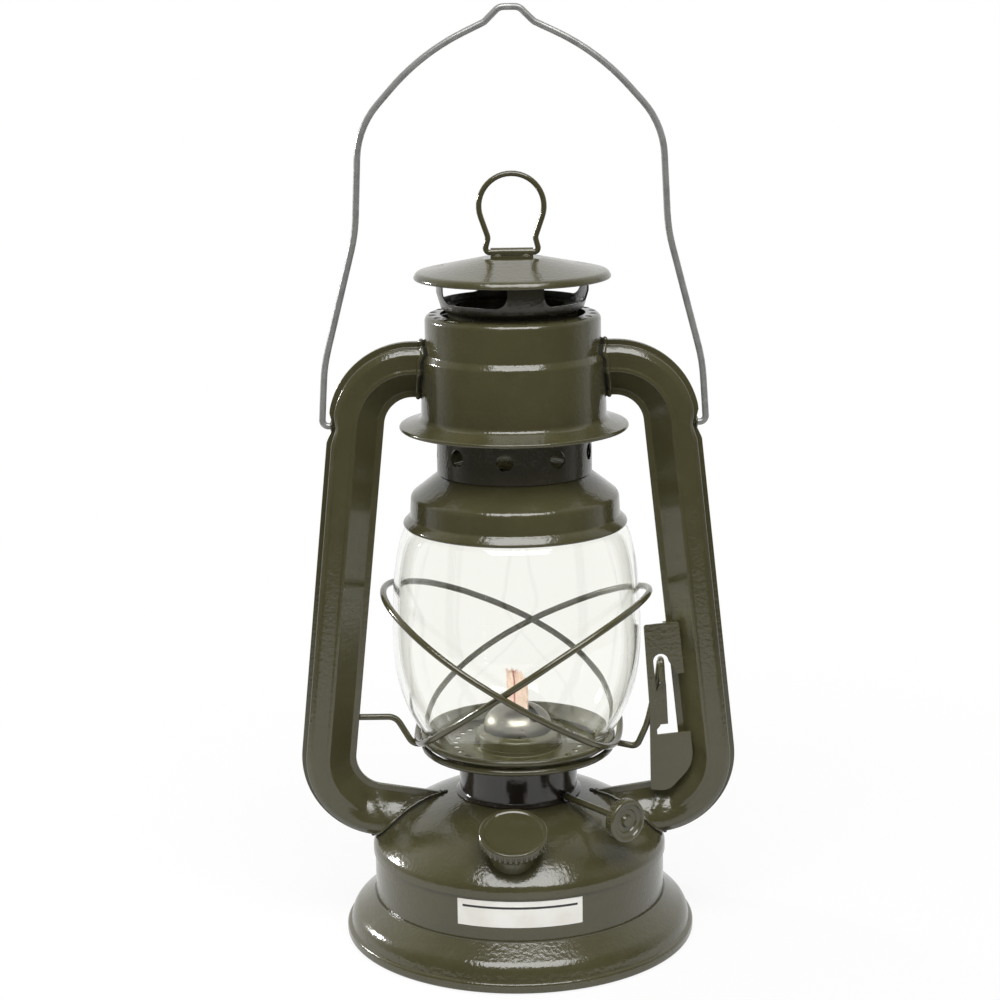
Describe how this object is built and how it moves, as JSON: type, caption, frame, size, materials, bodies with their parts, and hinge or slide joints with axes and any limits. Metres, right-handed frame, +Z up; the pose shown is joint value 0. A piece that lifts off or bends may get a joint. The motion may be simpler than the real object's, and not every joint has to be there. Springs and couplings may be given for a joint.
{
  "type": "kerosene lamp",
  "caption": "Hurricane lantern with a round fuel tank, side air tubes, wire-guarded glass globe that lifts, sprung chimney, wick winder, screw filler cap and swinging wire bail.",
  "frame": {"origin": "centre of the foot's underside", "axes": "+Z up along the lamp's axis, X through the two side tubes, -Y towards the filler cap"},
  "size_m": [0.1596, 0.129, 0.3377],
  "materials": {
    "olive_paint": "glossy enamel",
    "burner_metal": "plain tinned",
    "galvanised_wire": "galvanised",
    "spring_wire": "drawn wire",
    "clear_glass": "clear blown",
    "cotton": "woven",
    "rubber": "matt"
  },
  "bodies": {
    "frame": {"foot_skirt": "olive_paint", "tank_wall": "olive_paint", "tank_bottom": "olive_paint", "tank_dome": "olive_paint", "filler_neck": "olive_paint", "burner_collar": "burner_metal", "burner_gallery": "olive_paint", "burner_body": "burner_metal", "wick_tube": "burner_metal", "burner_cone": "burner_metal", "shaft_bush": "burner_metal", "left_tube": "olive_paint", "right_tube": "olive_paint", "hood": "olive_paint", "bail_eyelets": "burner_metal", "chimney_spring": "spring_wire"},
    "bail": {"bail": "galvanised_wire"},
    "globe_carriage": {"globe_plate": "olive_paint", "globe": "clear_glass", "guard_wire_a": "olive_paint", "guard_wire_b": "olive_paint", "lift_wire": "olive_paint"},
    "lifter": {"lifter": "olive_paint"},
    "chimney": {"bell": "olive_paint", "neck_ring": "olive_paint", "flue_pipe": "olive_paint", "crown": "olive_paint", "cap": "olive_paint", "ring_strap": "olive_paint", "strap_rivets": "olive_paint"},
    "cap_ring": {"cap_ring": "olive_paint"},
    "wick": {"wick": "cotton"},
    "wick_winder": {"wick_shaft": "burner_metal", "spur_wheels": "burner_metal", "wick_knob": "olive_paint"},
    "filler_seal": {"filler_gasket": "rubber"},
    "filler_cap": {"filler_cap": "olive_paint"}
  },
  "joints": [
    {"name": "bail_swing", "type": "hinge", "parent": "frame", "child": "bail", "pos_m": [0, 0, 0.1904], "axis": [1, 0, 0], "range_deg": [-140, 140]},
    {"name": "globe_lift", "type": "slide", "parent": "frame", "child": "globe_carriage", "axis": [0, 0, 1], "range_m": [0, 0.009], "deforming": ["chimney_spring"]},
    {"name": "lifter_slide", "type": "slide", "parent": "frame", "child": "lifter", "axis": [-0.1065, 0, 0.9943], "range_m": [0, 0.0091]},
    {"name": "chimney_lift", "type": "slide", "parent": "globe_carriage", "child": "chimney", "axis": [0, 0, 1], "range_m": [0, 0.011], "stiffness_N_per_m": 200, "springref_m": -0.02, "deforming": ["chimney_spring"]},
    {"name": "ring_fold", "type": "hinge", "parent": "chimney", "child": "cap_ring", "pos_m": [0, 0, 0.2519], "axis": [1, 0, 0], "range_deg": [-90, 90]},
    {"name": "knob_turn", "type": "hinge", "parent": "frame", "child": "wick_winder", "pos_m": [0.00282, 0.00224, 0.0553], "axis": [0.6225, -0.7826, 0], "range_deg": [-119, 334]},
    {"name": "wick_slide", "type": "slide", "parent": "frame", "child": "wick", "axis": [0, 0, 1], "range_m": [-0.0142, 0.0051]},
    {"name": "filler_rise", "type": "slide", "parent": "frame", "child": "filler_seal", "axis": [0, -0.3907, 0.9205], "range_m": [0, 0.00401]},
    {"name": "filler_turn", "type": "hinge", "parent": "filler_seal", "child": "filler_cap", "pos_m": [-0.0021, -0.043, 0.04425], "axis": [0, -0.3907, 0.9205], "range_deg": [0, 720]}
  ],
  "couplings": [
    {"joint": "lifter_slide", "follows": "globe_lift", "ratio": 1.0057},
    {"joint": "wick_slide", "follows": "knob_turn", "m_per_rad": -0.0024},
    {"joint": "filler_rise", "follows": "filler_turn", "m_per_rad": 0.00031831}
  ]
}
